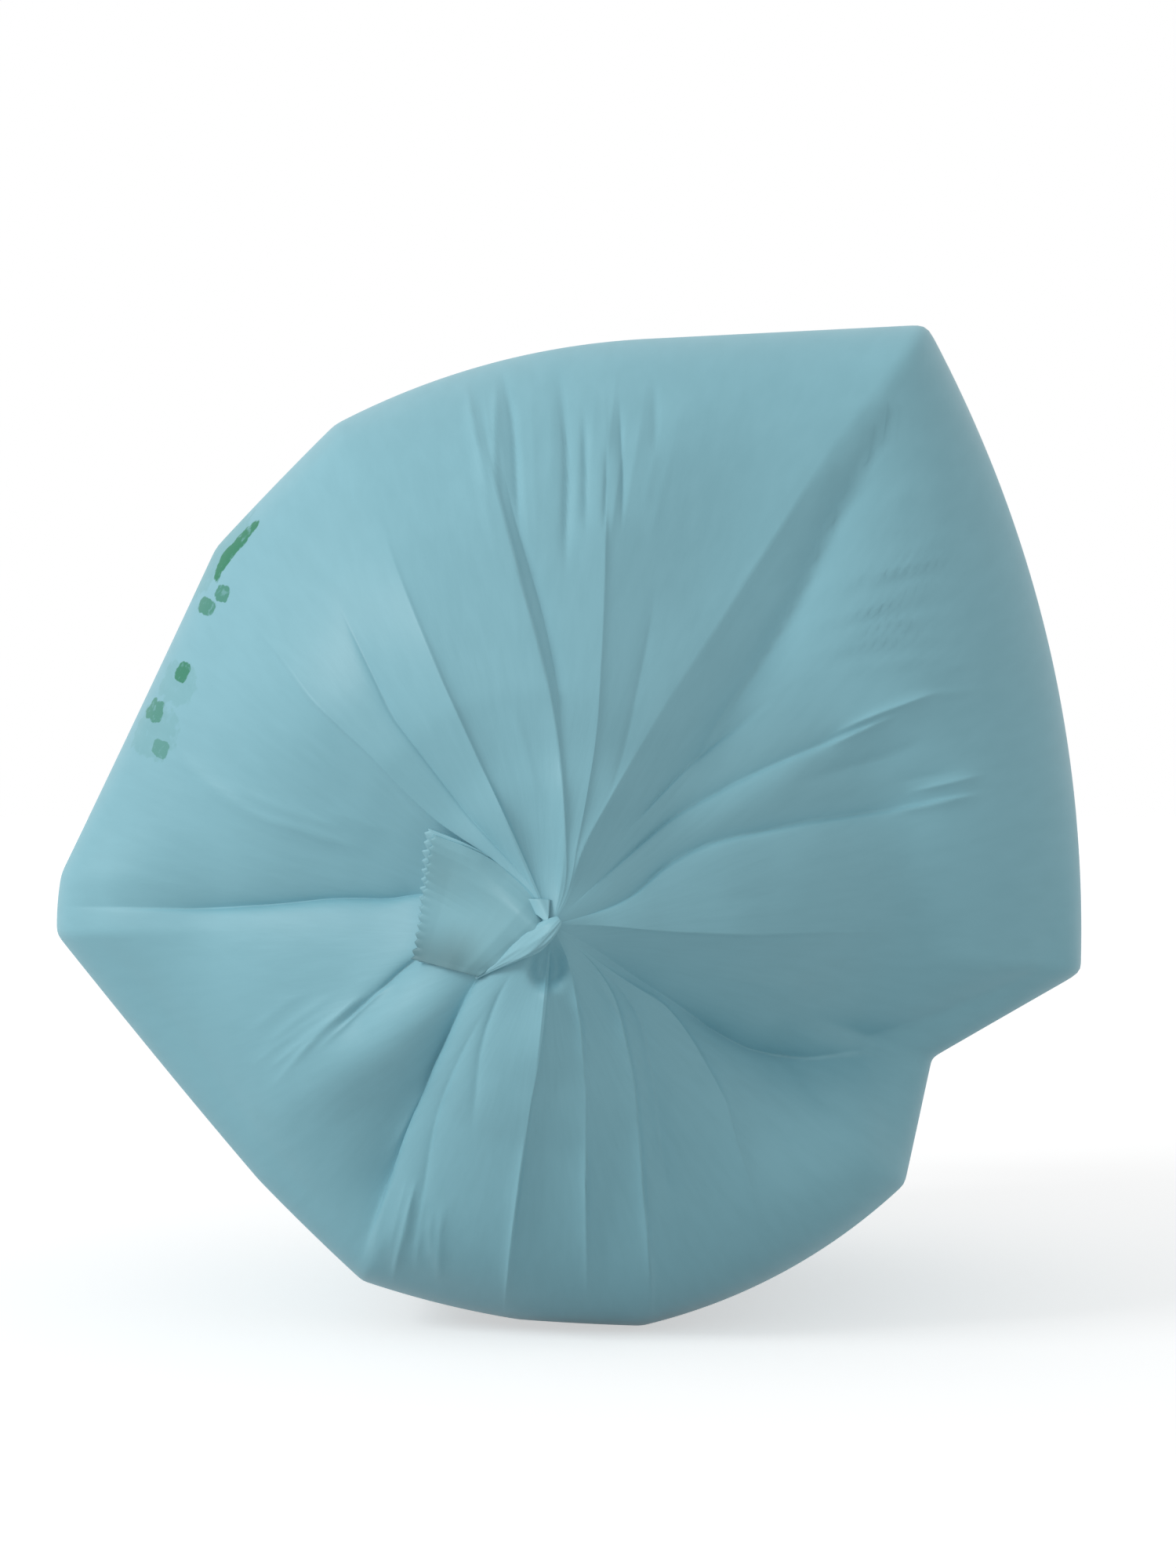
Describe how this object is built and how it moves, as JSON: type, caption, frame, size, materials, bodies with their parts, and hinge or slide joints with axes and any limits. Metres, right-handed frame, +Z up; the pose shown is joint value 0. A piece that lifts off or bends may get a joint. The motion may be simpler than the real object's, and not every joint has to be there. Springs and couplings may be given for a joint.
{
  "type": "star-sealed plastic bag",
  "caption": "Air-filled t-shirt bag of thin film lying on its side, pleats gathered to a star seal with a torn tab, mouth knotted at the back.",
  "frame": {"origin": "in the plane of the flat that the bag rests on, under the middle of the bag's box", "axes": "+Z up, -Y towards the star-sealed base, +Y towards the tied mouth, +X to the right when the base is looked at"},
  "size_m": [0.3108, 0.3802, 0.306],
  "materials": {
    "film": "thin pale blue-green polyethylene film, satin, slightly translucent"
  },
  "bodies": {
    "root": {"bag": "film"}
  },
  "joints": []
}
